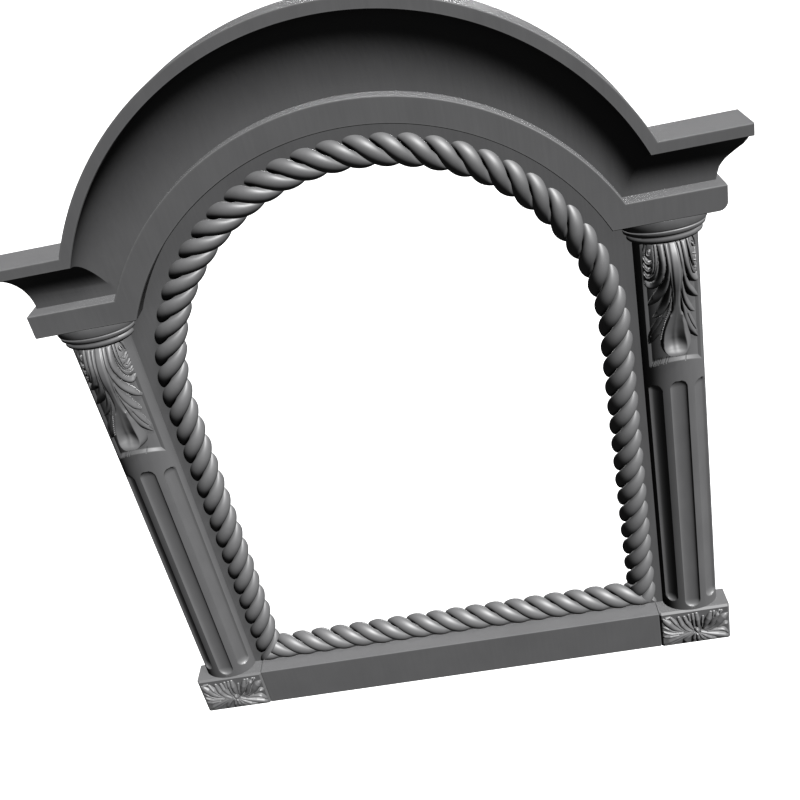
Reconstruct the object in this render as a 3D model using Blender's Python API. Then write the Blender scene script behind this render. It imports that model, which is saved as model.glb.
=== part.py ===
# Carved icon frame: an arched wooden surround with two half columns, a mitred cornice,
# a base rail between rosette blocks and a rope moulding round the opening.
# Lengths below are in millimetres and angles in degrees. Each mesh is scaled to metres
# as it is made. X runs to the right, the front faces -Y, the back lies in the plane
# Y = 0, and heights are counted from the underside of the base rail.

import math

import bmesh
import bpy
from mathutils import Vector

MM = 0.001
GAP = 0.3  # clear space between neighbouring pieces
HANG_HEIGHT = 521.0  # height of the hanging point, which becomes the origin
BEYOND = 30.0  # how far a cutter runs past the piece that it shapes
HAIR = 0.01  # two heights closer than this are the same row of points

# Base rail and the two rosette blocks
BASE_HEIGHT = 36.4
RAIL_FRONT = 19.3
BLOCK_INNER_X = 170.6
BLOCK_OUTER_X = 227.4
BLOCK_FRONT = 19.9
BLOCK_BEVEL = 1.6

# Ground board with the arched opening
BOARD_THICKNESS = 4.4
BOARD_OUTER_X = 219.2
BOARD_LAP = 12.0  # how far the board runs into the rebates of its neighbours
ARCH_HEIGHT = 296.2  # height of the centre of the rope's, board's and fascia's arcs
OPENING_RADIUS = 160.9
ARC_STEPS = 30

# Cornice: a profile measured down from the top edge, and forward from the back
CORNICE_TOP = 434.4
CORNICE_HALF_WIDTH = 250.0
CORNICE_ARCH_RADIUS = 237.8  # of the fascia's arcs, before the drop is taken off
HOOD_HEIGHT = 338.8  # centre of the top fillet's arcs, above that of the others
HOOD_RADIUS = 214.9
TOP_FILLET = 7.8
COVE_END = 39.5
FASCIA_END = 56.3
FILLET_FRONT = 34.4
COVE_BOTTOM_FRONT = 10.0
FASCIA_FRONT = 23.2
COVE_SIDE_SET = 18.0  # how far the end return steps in at the foot of the cove
FASCIA_SIDE_SET = 15.0
COVE_STEPS = 6
WORN_CORNER_RADIUS = 6.5
WORN_CORNER_STEPS = 4

# Rope moulding
ROPE_HALF_WIDTH = 160.6
ROPE_RADIUS = 11.6
ROPE_DEPTH = 1.4  # how far the axis of the rope lies in front of the back plane
ROPE_PITCH = 16.8  # from one strand to the next along the rope
STRANDS = 3
STATIONS_PER_STRAND = 3
STRAND_CREST = 0.985  # the crest is a flat this far out, as a share of the rope radius
STRAND_CREST_HALF_ANGLE = 24.0
STRAND_GROOVE = 0.66
SIDE_ROPE_PHASE = 8.5
BOTTOM_ROPE_PHASE = 1.5
ROPE_OVERRUN = 16.0  # length beyond the corner, before the mitre is cut
BOARD_EDGE_SPARE = 5.0
MITRE_REACH = 40.0

# Half columns: half an ellipse in plan
COLUMN_X = 198.5
COLUMN_HALF_WIDTH = 21.9
COLUMN_DEPTH = 15.0
FLUTE_ANGLE = 48.0
FLUTE_HALF_ANGLE = 17.0
CENTRE_FLUTE_HALF_ANGLE = 16.0
FLUTE_DEPTH = 2.6
FLUTE_FOOT = 40.4
FLUTE_TOP = 255.6
SIDE_FLUTE_FOOT = 45.4
SIDE_FLUTE_TOP = 252.6
FLUTE_ROUND = 6.0
FLUTE_FOOT_STEPS = (0.0, 2.0, 4.4, 7.4, 11.0)  # rows of points up from the foot
FLUTE_TOP_STEPS = (9.0, 5.5, 2.6, 0.0)  # and down from the top
PANEL_FOOT = 266.0
PANEL_TOP = 361.0
PANEL_DEPTH = 1.6
PANEL_HALF_ANGLE = 74.0
PANEL_WALL_ANGLE = 4.0
PANEL_LIP = 2.4
LEAF_TIP = 277.0
LEAF_RELIEF = 3.0
LEAF_ROWS = 10
LEAF_ROWS_START = 6.0  # above the tip
LEAF_ROWS_END = 1.2  # below the panel's top
LEAF_OUTLINE = (  # share of the leaf's height, half width in degrees round the shaft
    (0.0, 5.0), (0.04, 11.0), (0.12, 15.0), (0.28, 18.0), (0.42, 34.0), (0.56, 56.0),
    (0.66, 68.0), (1.0, 70.0),
)
LEAF_SPOON = 0.28  # the plain spoon-shaped tip, as a share of the leaf's height
SPOON_HOLLOW = 0.35  # relief along its middle and, below, what its rim adds
SPOON_RIM = 0.45
LEAF_RIBS = 2.0  # on each half of the leaf
RIB_FOOT = 0.25  # relief between two ribs
RIB_HEIGHT = 0.5
LEAF_EDGE_FALL = 0.5
LEAF_TOP_RISE = 0.6  # extra relief towards the top, in millimetres
NECK_RINGS = (  # height, and how far the ring stands out from the shaft
    (361.6, 0.0), (362.6, 1.6), (364.2, 3.4), (366.4, 2.2), (367.8, 5.2), (370.2, 5.7),
    (370.9, 4.7), (371.5, 6.2), (377.8, 7.2),
)
NECK_DEPTH_SHARE = 0.42  # the rings stand out less at the front than at the sides

# Rosettes on the blocks
ROSETTE_LEAVES = 16
ROSETTE_RELIEF = 2.6
ROSETTE_MARGIN = 1.2
ROSETTE_RINGS = ((0.14, 0.58), (0.42, 0.97), (0.78, 0.83), (1.0, 0.0))  # reach, height
ROSETTE_RIDGE = 0.95
ROSETTE_GROOVE = 0.2

PAINT = (0.105, 0.105, 0.107)
PAINT_ROUGHNESS = 0.42


def clear_scene():
    for obj in list(bpy.data.objects):
        bpy.data.objects.remove(obj, do_unlink=True)


def paint(name, shade):
    material = bpy.data.materials.new(name)
    material.use_nodes = True
    surface = material.node_tree.nodes["Principled BSDF"]
    colour = tuple(channel * shade for channel in PAINT) + (1.0,)
    surface.inputs["Base Color"].default_value = colour
    surface.inputs["Roughness"].default_value = PAINT_ROUGHNESS
    surface.inputs["Metallic"].default_value = 0.0
    material.diffuse_color = colour
    return material


def solid(name, points, faces, x=0.0):
    """Make one object from millimetre points; x is the place of its own centre line."""
    mesh = bpy.data.meshes.new(name)
    mesh.from_pydata([Vector(p) * MM for p in points], [], faces)
    shape = bmesh.new()
    shape.from_mesh(mesh)
    bmesh.ops.recalc_face_normals(shape, faces=shape.faces)
    shape.to_mesh(mesh)
    shape.free()
    obj = bpy.data.objects.new(name, mesh)
    obj.location = Vector((x, 0.0, -HANG_HEIGHT)) * MM
    bpy.context.scene.collection.objects.link(obj)
    return obj


def finish(obj, shade=1.0, smooth_angle=None):
    obj.data.materials.append(paint(obj.name + "_paint", shade))
    if smooth_angle is not None:
        obj.data.shade_smooth()
        obj.data.set_sharp_from_angle(angle=math.radians(smooth_angle))
    return obj


def cutter(name, points, faces):
    obj = solid(name, points, faces)
    obj.hide_render = True
    obj.display_type = "WIRE"
    return obj


def cut(obj, tool, operation="DIFFERENCE"):
    modifier = obj.modifiers.new(tool.name, "BOOLEAN")
    modifier.operation = operation
    modifier.solver = "EXACT"
    modifier.object = tool


def prism(outline, front, back):
    """Points and faces of an X-Z outline carried from Y = front to Y = back."""
    count = len(outline)
    points = [(x, front, z) for x, z in outline] + [(x, back, z) for x, z in outline]
    faces = [tuple(range(count)), tuple(range(2 * count - 1, count - 1, -1))]
    for i in range(count):
        after = (i + 1) % count
        faces.append((i, i + count, after + count, after))
    return points, faces


def arched_outline(half_width, radius, foot, shoulder):
    """A closed outline: straight sides, square shoulders where they are wider, an arc."""
    start = math.asin((shoulder - ARCH_HEIGHT) / radius)
    arc = []
    for i in range(ARC_STEPS + 1):
        angle = start + (math.pi - 2 * start) * i / ARC_STEPS
        arc.append((radius * math.cos(angle), ARCH_HEIGHT + radius * math.sin(angle)))
    if half_width <= arc[0][0] + 1e-6:
        return [(-half_width, foot), (half_width, foot)] + arc
    return ([(-half_width, foot), (half_width, foot), (half_width, shoulder)] + arc
            + [(-half_width, shoulder)])


def ring_plate(outer, inner, front, back):
    """A flat plate with a hole. Both outlines have the same point count."""
    count = len(outer)
    points = []
    for outline in (outer, inner):
        for depth in (front, back):
            points += [(x, depth, z) for x, z in outline]
    faces = []
    for i in range(count):
        j = (i + 1) % count
        outer_front, outer_back, inner_front, inner_back = (
            (i + k * count, j + k * count) for k in range(4))
        faces.append((outer_front[0], outer_front[1], inner_front[1], inner_front[0]))
        faces.append((outer_back[1], outer_back[0], inner_back[0], inner_back[1]))
        faces.append((outer_front[1], outer_front[0], outer_back[0], outer_back[1]))
        faces.append((inner_front[0], inner_front[1], inner_back[1], inner_back[0]))
    return points, faces


def board_outline(grow=0.0):
    shoulder = CORNICE_TOP - FASCIA_END + BOARD_LAP + grow
    radius = CORNICE_ARCH_RADIUS - FASCIA_END + BOARD_LAP + grow
    foot = BASE_HEIGHT - BOARD_LAP - grow
    return arched_outline(BOARD_OUTER_X + grow, radius, foot, shoulder)


def opening_outline(shrink=0.0):
    """The opening with doubled shoulder points, so that it pairs with the board outline."""
    radius = OPENING_RADIUS - shrink
    foot = rope_foot() + shrink
    outline = arched_outline(radius, radius, foot, ARCH_HEIGHT)
    low_right = (radius, (foot + ARCH_HEIGHT) / 2)
    low_left = (-radius, (foot + ARCH_HEIGHT) / 2)
    return outline[:2] + [low_right] + outline[2:] + [low_left]


def rope_foot():
    return BASE_HEIGHT + GAP + ROPE_RADIUS


def build_board():
    points, faces = ring_plate(board_outline(), opening_outline(), -BOARD_THICKNESS, 0.0)
    return finish(solid("ground_board", points, faces), 0.95)


def cornice_profile():
    """(drop below the top, front, side set) from the top fillet to the fascia's foot."""
    rows = [(0.0, FILLET_FRONT, 0.0)]
    for i in range(COVE_STEPS + 1):
        turn = math.pi / 2 * i / COVE_STEPS
        drop = COVE_END - (COVE_END - TOP_FILLET) * math.cos(turn)
        front = FILLET_FRONT - (FILLET_FRONT - COVE_BOTTOM_FRONT) * math.sin(turn)
        rows.append((drop, front, COVE_SIDE_SET * math.sin(turn)))
    rows.append((COVE_END, FASCIA_FRONT, FASCIA_SIDE_SET))
    rows.append((FASCIA_END, FASCIA_FRONT, FASCIA_SIDE_SET))
    return rows


def cornice_arc(drop):
    """Centre height and radius. The cove passes from the fillet's arc to the fascia's."""
    if drop <= TOP_FILLET:
        return HOOD_HEIGHT, HOOD_RADIUS - drop
    share = min(1.0, (drop - TOP_FILLET) / (COVE_END - TOP_FILLET))
    centre = HOOD_HEIGHT + (ARCH_HEIGHT - HOOD_HEIGHT) * share
    upper = HOOD_RADIUS - TOP_FILLET
    lower = CORNICE_ARCH_RADIUS - max(drop, COVE_END)
    return centre, upper + (lower - upper) * share


def cornice_path(drop, depth, side_set):
    """One edge of the cornice: left end, left length, arch, right length, right end."""
    height = CORNICE_TOP - drop
    centre, radius = cornice_arc(drop)
    start = math.asin((height - centre) / radius)
    end_x = CORNICE_HALF_WIDTH - side_set
    edge = [(-end_x, 0.0, height), (-end_x, -depth, height)]
    for i in range(ARC_STEPS + 1):
        angle = math.pi - start - (math.pi - 2 * start) * i / ARC_STEPS
        edge.append((radius * math.cos(angle), -depth,
                     centre + radius * math.sin(angle)))
    return edge + [(end_x, -depth, height), (end_x, 0.0, height)]


def build_cornice(seat):
    rows = cornice_profile()
    edges = [cornice_path(*row) for row in rows]
    top_back = [(x, 0.0, z) for x, _, z in edges[0][1:-1]]
    low_back = [(x, 0.0, z) for x, _, z in edges[-1][1:-1]]
    width = len(edges[0])
    points = [p for edge in edges for p in edge]
    faces = []
    for row in range(len(edges) - 1):
        for i in range(width - 1):
            a = row * width + i
            faces.append((a, a + 1, a + width + 1, a + width))
    top_start = len(points)
    points += top_back[1:-1]
    low_start = len(points)
    points += low_back[1:-1]
    last_row = (len(edges) - 1) * width
    top_line = [0] + list(range(top_start, low_start)) + [width - 1]
    low_line = [last_row] + list(range(low_start, len(points))) + [last_row + width - 1]
    for front_row, line in ((0, top_line), (last_row, low_line)):
        faces.append((front_row + 1, line[0], line[1], front_row + 2))
        for i in range(1, len(line) - 2):
            faces.append((front_row + i + 1, line[i], line[i + 1], front_row + i + 2))
        faces.append((front_row + width - 3, line[-2], line[-1], front_row + width - 2))
    faces.append(tuple(top_line[1:-1] + low_line[-2:0:-1]))
    left_end = [row * width for row in range(len(edges))]
    right_end = [index + width - 1 for index in left_end]
    faces.append(tuple(left_end + [low_line[1], top_line[1]]))
    faces.append(tuple(right_end + [low_line[-2], top_line[-2]]))
    body = solid("cornice", points, faces)
    cut(body, seat)
    cut(body, worn_corner())
    return finish(body, 1.0, 25)


def worn_corner():
    """The right end of the cornice is rubbed round at its lower outer corner."""
    edge_x = CORNICE_HALF_WIDTH - FASCIA_SIDE_SET
    foot = CORNICE_TOP - FASCIA_END
    past = WORN_CORNER_RADIUS / 2
    outline = [(edge_x + past, foot - past), (edge_x + past, foot + WORN_CORNER_RADIUS)]
    for i in range(WORN_CORNER_STEPS + 1):
        angle = math.pi / 2 * i / WORN_CORNER_STEPS
        outline.append((edge_x - WORN_CORNER_RADIUS + WORN_CORNER_RADIUS * math.cos(angle),
                        foot + WORN_CORNER_RADIUS - WORN_CORNER_RADIUS * math.sin(angle)))
    outline.append((edge_x - WORN_CORNER_RADIUS, foot - past))
    return cutter("cut_worn_corner", *prism(outline, -FILLET_FRONT, BEYOND))


def build_rail(seat):
    half = BLOCK_INNER_X - GAP
    outline = [(-half, 0.0), (half, 0.0), (half, BASE_HEIGHT), (-half, BASE_HEIGHT)]
    body = solid("base_rail", *prism(outline, -RAIL_FRONT, 0.0))
    cut(body, seat)
    return finish(body, 0.98)


def build_block(side, seat):
    """A block with its carved front, made round its own centre line."""
    half_x = (BLOCK_OUTER_X - BLOCK_INNER_X) / 2
    half_z = BASE_HEIGHT / 2
    face_x = half_x - ROSETTE_MARGIN
    face_z = half_z - ROSETTE_MARGIN - BLOCK_BEVEL / 2
    face_mid = half_z - BLOCK_BEVEL / 2
    spokes = 2 * ROSETTE_LEAVES
    points = [(0.0, -BLOCK_FRONT - ROSETTE_RELIEF, face_mid)]
    for reach, swell in ROSETTE_RINGS:
        for spoke in range(spokes):
            angle = 2 * math.pi * spoke / spokes + math.pi / 4
            run = 1 / max(abs(math.cos(angle)), abs(math.sin(angle)))
            rise = ROSETTE_RELIEF * swell * (ROSETTE_GROOVE if spoke % 2 else ROSETTE_RIDGE)
            points.append((face_x * math.cos(angle) * run * reach, -BLOCK_FRONT - rise,
                           face_mid + face_z * math.sin(angle) * run * reach))
    faces = [(0, 1 + i, 1 + (i + 1) % spokes) for i in range(spokes)]
    for ring in range(len(ROSETTE_RINGS) - 1):
        for i in range(spokes):
            a = 1 + ring * spokes + i
            b = 1 + ring * spokes + (i + 1) % spokes
            faces.append((a, a + spokes, b + spokes, b))
    rim = 1 + (len(ROSETTE_RINGS) - 1) * spokes
    frame = len(points)
    top = BASE_HEIGHT
    brow = top - BLOCK_BEVEL
    points += [(half_x, -BLOCK_FRONT, brow), (-half_x, -BLOCK_FRONT, brow),
               (-half_x, -BLOCK_FRONT, 0.0), (half_x, -BLOCK_FRONT, 0.0)]
    quarter = spokes // 4
    for corner in range(4):
        run = [rim + (corner * quarter + k) % spokes for k in range(quarter + 1)]
        faces.append(tuple([frame + corner] + run + [frame + (corner + 1) % 4]))
    rear = len(points)
    points += [(half_x, 0.0, top), (-half_x, 0.0, top), (-half_x, 0.0, 0.0), (half_x, 0.0, 0.0)]
    shoulder = len(points)
    setback = -BLOCK_FRONT + BLOCK_BEVEL
    points += [(half_x, setback, top), (-half_x, setback, top)]
    faces.append((rear, rear + 1, rear + 2, rear + 3))
    faces.append((frame, frame + 1, shoulder + 1, shoulder))
    faces.append((shoulder, shoulder + 1, rear + 1, rear))
    faces.append((frame + 2, frame + 3, rear + 3, rear + 2))
    faces.append((frame, shoulder, rear, rear + 3, frame + 3))
    faces.append((frame + 1, shoulder + 1, rear + 1, rear + 2, frame + 2))
    name = "block_left" if side < 0 else "block_right"
    middle = side * (BLOCK_INNER_X + BLOCK_OUTER_X) / 2
    body = solid(name, points, faces, middle)
    cut(body, seat)
    return finish(body, 1.05)


def flute_relief(angle, height):
    """Depth of the three round-ended flutes at this place on the shaft."""
    deepest = 0.0
    for middle, half, foot, top in (
            (-FLUTE_ANGLE, FLUTE_HALF_ANGLE, SIDE_FLUTE_FOOT, SIDE_FLUTE_TOP),
            (0.0, CENTRE_FLUTE_HALF_ANGLE, FLUTE_FOOT, FLUTE_TOP),
            (FLUTE_ANGLE, FLUTE_HALF_ANGLE, SIDE_FLUTE_FOOT, SIDE_FLUTE_TOP)):
        across = abs(angle - middle) / half
        end = min(height - foot, top - height) / FLUTE_ROUND
        if across >= 1.0 or end <= 0.0:
            continue
        lengthwise = 1.0 - min(end, 1.0)
        hollow = 1.0 - across ** 2 - lengthwise ** 2
        if hollow > 0.0:
            deepest = max(deepest, FLUTE_DEPTH * math.sqrt(hollow))
    return -deepest


def leaf_half_angle(share):
    """Half width of the acanthus leaf, in degrees round the shaft."""
    for (low, narrow), (high, wide) in zip(LEAF_OUTLINE, LEAF_OUTLINE[1:]):
        if low <= share <= high:
            return narrow + (wide - narrow) * (share - low) / (high - low)
    return 0.0


def leaf_relief(angle, height):
    """The leaf: a spoon-shaped tip with a rim, then ribs that fan out to each side."""
    share = (height - LEAF_TIP) / (PANEL_TOP - LEAF_TIP)
    half = leaf_half_angle(share)
    if abs(angle) >= half:
        return -PANEL_DEPTH
    across = abs(angle) / half
    if share < LEAF_SPOON:
        return LEAF_RELIEF * (SPOON_HOLLOW + SPOON_RIM * across ** 2)
    rib = 0.5 - 0.5 * math.cos(2 * math.pi * LEAF_RIBS * across)
    edge = 1.0 - LEAF_EDGE_FALL * across ** 3
    return LEAF_RELIEF * (RIB_FOOT + RIB_HEIGHT * rib) * edge + LEAF_TOP_RISE * share


def shaft_relief(angle, height):
    if height < PANEL_FOOT - HAIR or height > PANEL_TOP + HAIR:
        return flute_relief(angle, height)
    if abs(angle) > PANEL_HALF_ANGLE or min(height - PANEL_FOOT, PANEL_TOP - height) < HAIR:
        return 0.0
    if abs(angle) >= PANEL_HALF_ANGLE - PANEL_WALL_ANGLE:
        return -PANEL_DEPTH
    return leaf_relief(angle, height)


def column_angles():
    near = [0.0, CENTRE_FLUTE_HALF_ANGLE / 2, CENTRE_FLUTE_HALF_ANGLE]
    side = [FLUTE_ANGLE + share * FLUTE_HALF_ANGLE for share in (-1.0, -0.5, 0.0, 0.5, 1.0)]
    half = near + side + [PANEL_HALF_ANGLE - PANEL_WALL_ANGLE, PANEL_HALF_ANGLE, 90.0]
    return [-a for a in reversed(half[1:])] + half


def column_heights():
    rows = [BASE_HEIGHT + GAP]
    rows += [FLUTE_FOOT + step for step in FLUTE_FOOT_STEPS]
    rows += [FLUTE_TOP - step for step in FLUTE_TOP_STEPS]
    rows += [PANEL_FOOT, PANEL_FOOT + PANEL_LIP, LEAF_TIP - PANEL_LIP / 2, LEAF_TIP + PANEL_LIP]
    first = LEAF_TIP + LEAF_ROWS_START
    last = PANEL_TOP - LEAF_ROWS_END
    rows += [first + (last - first) * i / (LEAF_ROWS - 1) for i in range(LEAF_ROWS)]
    return rows + [PANEL_TOP]


def column_point(angle, height, swell, relief):
    turn = math.radians(angle)
    wide = COLUMN_HALF_WIDTH + swell
    deep = COLUMN_DEPTH + swell * NECK_DEPTH_SHARE
    outward = Vector((math.sin(turn) / wide, -math.cos(turn) / deep)).normalized()
    return (wide * math.sin(turn) + outward.x * relief,
            -BOARD_THICKNESS - GAP - deep * math.cos(turn) + outward.y * relief, height)


def build_column(side):
    """A half column, made round its own axis. Its flat back lies on the board."""
    angles = column_angles()
    rows = [(z, 0.0) for z in column_heights()] + list(NECK_RINGS)
    points = []
    for height, swell in rows:
        for angle in angles:
            carved = height < NECK_RINGS[0][0] and abs(angle) < 90.0
            relief = shaft_relief(angle, height) if carved else 0.0
            points.append(column_point(angle, height, swell, relief))
    width = len(angles)
    faces = []
    for row in range(len(rows) - 1):
        for i in range(width - 1):
            a = row * width + i
            faces.append((a, a + 1, a + width + 1, a + width))
    top = (len(rows) - 1) * width
    faces.append(tuple(range(width)))
    faces.append(tuple(range(top + width - 1, top - 1, -1)))
    left_edge = [row * width for row in range(len(rows))]
    right_edge = [row * width + width - 1 for row in range(len(rows))]
    for row in range(len(rows) - 1):
        faces.append((left_edge[row], left_edge[row + 1], right_edge[row + 1], right_edge[row]))
    name = "column_left" if side < 0 else "column_right"
    return finish(solid(name, points, faces, side * COLUMN_X), 1.1, 35)


def rope_section(travel, phase):
    """(inward, forward) offsets of the twisted three-strand section at this travel."""
    lead = ROPE_PITCH * STRANDS
    turn = 2 * math.pi * (travel - phase) / lead
    ring = []
    crest = math.radians(STRAND_CREST_HALF_ANGLE)
    for strand in range(STRANDS):
        middle = turn + 2 * math.pi * strand / STRANDS
        for offset, share in ((-crest, STRAND_CREST), (crest, STRAND_CREST),
                              (math.pi / STRANDS, STRAND_GROOVE)):
            angle = middle + offset
            ring.append((ROPE_RADIUS * share * math.cos(angle),
                         -ROPE_RADIUS * share * math.sin(angle)))
    return ring


def rope_body(name, path, phase):
    """Sweep the section along (place, inward direction, travel) stations."""
    points = []
    for (x, z), (inward_x, inward_z), travel in path:
        for inward, forward in rope_section(travel, phase):
            points.append((x + inward_x * inward, -ROPE_DEPTH - forward, z + inward_z * inward))
    width = 3 * STRANDS
    faces = [tuple(range(width)), tuple(range(len(points) - 1, len(points) - width - 1, -1))]
    for row in range(len(path) - 1):
        for i in range(width):
            a = row * width + i
            b = row * width + (i + 1) % width
            faces.append((a, b, b + width, a + width))
    return solid(name, points, faces)


def rope_arch_path():
    side = ARCH_HEIGHT - rope_foot()
    arc = math.pi * ROPE_HALF_WIDTH
    step = ROPE_PITCH / STATIONS_PER_STRAND
    count = round((2 * side + arc + 2 * ROPE_OVERRUN) / step)
    path = []
    for i in range(count + 1):
        travel = -ROPE_OVERRUN + (2 * side + arc + 2 * ROPE_OVERRUN) * i / count
        if travel < side:
            path.append(((-ROPE_HALF_WIDTH, rope_foot() + travel), (1.0, 0.0), travel))
        elif travel < side + arc:
            angle = math.pi - (travel - side) / ROPE_HALF_WIDTH
            out_x, out_z = math.cos(angle), math.sin(angle)
            path.append(((ROPE_HALF_WIDTH * out_x, ARCH_HEIGHT + ROPE_HALF_WIDTH * out_z),
                         (-out_x, -out_z), travel))
        else:
            drop = travel - side - arc
            path.append(((ROPE_HALF_WIDTH, ARCH_HEIGHT - drop), (-1.0, 0.0), travel))
    return path


def rope_bottom_path():
    length = 2 * (ROPE_HALF_WIDTH + ROPE_OVERRUN)
    count = round(length / (ROPE_PITCH / STATIONS_PER_STRAND))
    path = []
    for i in range(count + 1):
        x = -length / 2 + length * i / count
        path.append(((x, rope_foot()), (0.0, 1.0), x + ROPE_HALF_WIDTH))
    return path


def mitre_outline(clearance):
    """The space of the bottom run between its two 45 degree mitres."""
    low = rope_foot() - MITRE_REACH
    high = rope_foot() + MITRE_REACH
    low_x = ROPE_HALF_WIDTH + MITRE_REACH + clearance
    high_x = ROPE_HALF_WIDTH - MITRE_REACH + clearance
    return [(-low_x, low), (low_x, low), (high_x, high), (-high_x, high)]


def build_ropes():
    board_space = cutter("cut_board_space", *ring_plate(
        board_outline(BOARD_EDGE_SPARE), opening_outline(GAP), -BOARD_THICKNESS - GAP, BEYOND))
    wall = arched_outline(BOARD_OUTER_X, OPENING_RADIUS + BEYOND, 0.0, ARCH_HEIGHT + BEYOND)
    wall_space = cutter("cut_wall_space", *prism(wall, 0.0, BEYOND))
    corner_space = cutter("cut_corner_space", *prism(mitre_outline(GAP), -BEYOND, 2 * BEYOND))
    bottom_space = cutter("keep_bottom_space", *prism(mitre_outline(0.0), -BEYOND, 0.0))
    arch = rope_body("rope_arch", rope_arch_path(), SIDE_ROPE_PHASE)
    cut(arch, corner_space)
    cut(arch, wall_space)
    cut(arch, board_space)
    bottom = rope_body("rope_bottom", rope_bottom_path(), BOTTOM_ROPE_PHASE)
    cut(bottom, bottom_space, "INTERSECT")
    cut(bottom, board_space)
    finish(arch, 1.15, 50)
    finish(bottom, 1.15, 50)


def main():
    clear_scene()
    seat = cutter("cut_board_seat", *prism(board_outline(GAP), -BOARD_THICKNESS - GAP, BEYOND))
    build_board()
    build_cornice(seat)
    build_rail(seat)
    for side in (-1, 1):
        build_block(side, seat)
        build_column(side)
    build_ropes()


main()
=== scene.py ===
# Carved icon frame: the finished look of every piece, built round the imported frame.
# Lengths are in millimetres and angles in degrees. Heights start at the rail's underside.
import math

import bmesh
import bpy
import numpy as np
from mathutils import Matrix, Vector


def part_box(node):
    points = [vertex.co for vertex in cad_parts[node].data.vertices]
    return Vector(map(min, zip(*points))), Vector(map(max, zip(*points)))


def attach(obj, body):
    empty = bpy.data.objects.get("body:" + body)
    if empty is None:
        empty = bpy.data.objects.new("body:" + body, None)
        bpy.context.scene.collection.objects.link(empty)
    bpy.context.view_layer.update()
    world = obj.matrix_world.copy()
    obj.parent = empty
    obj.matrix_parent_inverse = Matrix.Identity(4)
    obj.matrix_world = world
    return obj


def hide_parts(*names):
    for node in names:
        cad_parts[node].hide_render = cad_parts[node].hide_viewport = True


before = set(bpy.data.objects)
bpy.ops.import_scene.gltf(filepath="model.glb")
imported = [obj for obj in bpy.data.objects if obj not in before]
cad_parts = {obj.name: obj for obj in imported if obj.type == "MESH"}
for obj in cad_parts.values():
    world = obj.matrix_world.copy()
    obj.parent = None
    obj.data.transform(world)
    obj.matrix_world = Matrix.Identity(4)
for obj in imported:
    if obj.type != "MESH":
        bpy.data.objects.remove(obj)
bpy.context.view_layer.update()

mm = 0.001
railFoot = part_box("base_rail")[0].z  # the underside of the rail, in metres
backPlane = 0.0  # the wall that the frame hangs against
wallGap = 0.3  # clear space between neighbouring pieces
toolFront, toolBack = -40.0, 20.0  # a cutting tool reaches past the frame's whole depth


def boxInMm(node):  # lowest and highest corner, with heights from the rail's underside
    low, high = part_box(node)
    lift = Vector((0.0, 0.0, railFoot))
    return (low - lift) / mm, (high - lift) / mm


def toMetres(points):
    placed = np.asarray(points, float) * mm
    placed[:, 2] += railFoot
    return placed


def addObject(name, data):
    added = bpy.data.objects.new(name, data)
    bpy.context.scene.collection.objects.link(added)
    return added


def makeMesh(name, points, faces):
    mesh = bpy.data.meshes.new(name)
    mesh.from_pydata(toMetres(points).tolist(), [], faces)
    shape = bmesh.new()
    shape.from_mesh(mesh)
    bmesh.ops.recalc_face_normals(shape, faces=shape.faces)
    shape.to_mesh(mesh)
    shape.free()
    return addObject(name, mesh)


def prismFaces(count):  # two ends, and the sides between them
    faces = [tuple(range(count)), tuple(range(2 * count - 1, count - 1, -1))]
    return faces + [(i, i + count, (i + 1) % count + count, (i + 1) % count) for i in range(count)]


def makePrism(name, outline, front):  # an upright outline, drawn out through the back plane
    points = [(x, depth, z) for depth in (front, toolBack) for x, z in outline]
    return makeMesh(name, points, prismFaces(len(outline)))


def storeMask(piece, name, values):  # one number for each point, read by the paint
    attribute = piece.data.attributes.new(name, "FLOAT", "POINT")
    attribute.data.foreach_set("value", np.asarray(values, np.float32).ravel())


def gridFaces(rows, columns, start=0):
    corner = np.arange(rows - 1)[:, None] * columns + np.arange(columns - 1)[None, :] + start
    quads = np.stack([corner, corner + 1, corner + columns + 1, corner + columns], -1)
    return quads.reshape(-1, 4).tolist()


def bakeModifiers(piece):  # keeps the shape that the modifiers give, as a plain mesh
    graph = bpy.context.evaluated_depsgraph_get()
    mesh = bpy.data.meshes.new_from_object(piece.evaluated_get(graph), depsgraph=graph)
    piece.modifiers.clear()
    if piece.type == "MESH":
        piece.data = mesh
        return piece
    name = piece.name
    bpy.data.objects.remove(piece)
    return addObject(name, mesh)


def cutAway(piece, tool):
    modifier = piece.modifiers.new("cut", "BOOLEAN")
    modifier.operation = "DIFFERENCE"
    modifier.solver = "EXACT"
    modifier.object = tool
    bakeModifiers(piece)


def finishPiece(piece, node, material, smoothAngle):
    piece.data.materials.clear()
    piece.data.materials.append(material)
    piece.data.shade_smooth()
    piece.data.set_sharp_from_angle(angle=math.radians(smoothAngle))
    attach(piece, "root")
    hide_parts(node)
    return piece


# Shader helpers and the effects that several paints share
def link(tree, fromSocket, toSocket):
    tree.links.new(fromSocket, toSocket)


def addNode(tree, kind, **settings):
    node = tree.nodes.new(kind)
    for name, value in settings.items():
        setattr(node, name, value)
    return node


def mathNode(tree, operation, *values):
    node = addNode(tree, "ShaderNodeMath", operation=operation)
    for socket, value in zip(node.inputs, values):
        if isinstance(value, (int, float)):
            socket.default_value = value
        else:
            link(tree, value, socket)
    return node.outputs[0]


def addNoise(tree, vector, scale, detail):
    noise = addNode(tree, "ShaderNodeTexNoise")
    noise.inputs["Scale"].default_value = scale
    noise.inputs["Detail"].default_value = detail
    link(tree, vector, noise.inputs["Vector"])
    return noise.outputs["Fac"]


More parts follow.
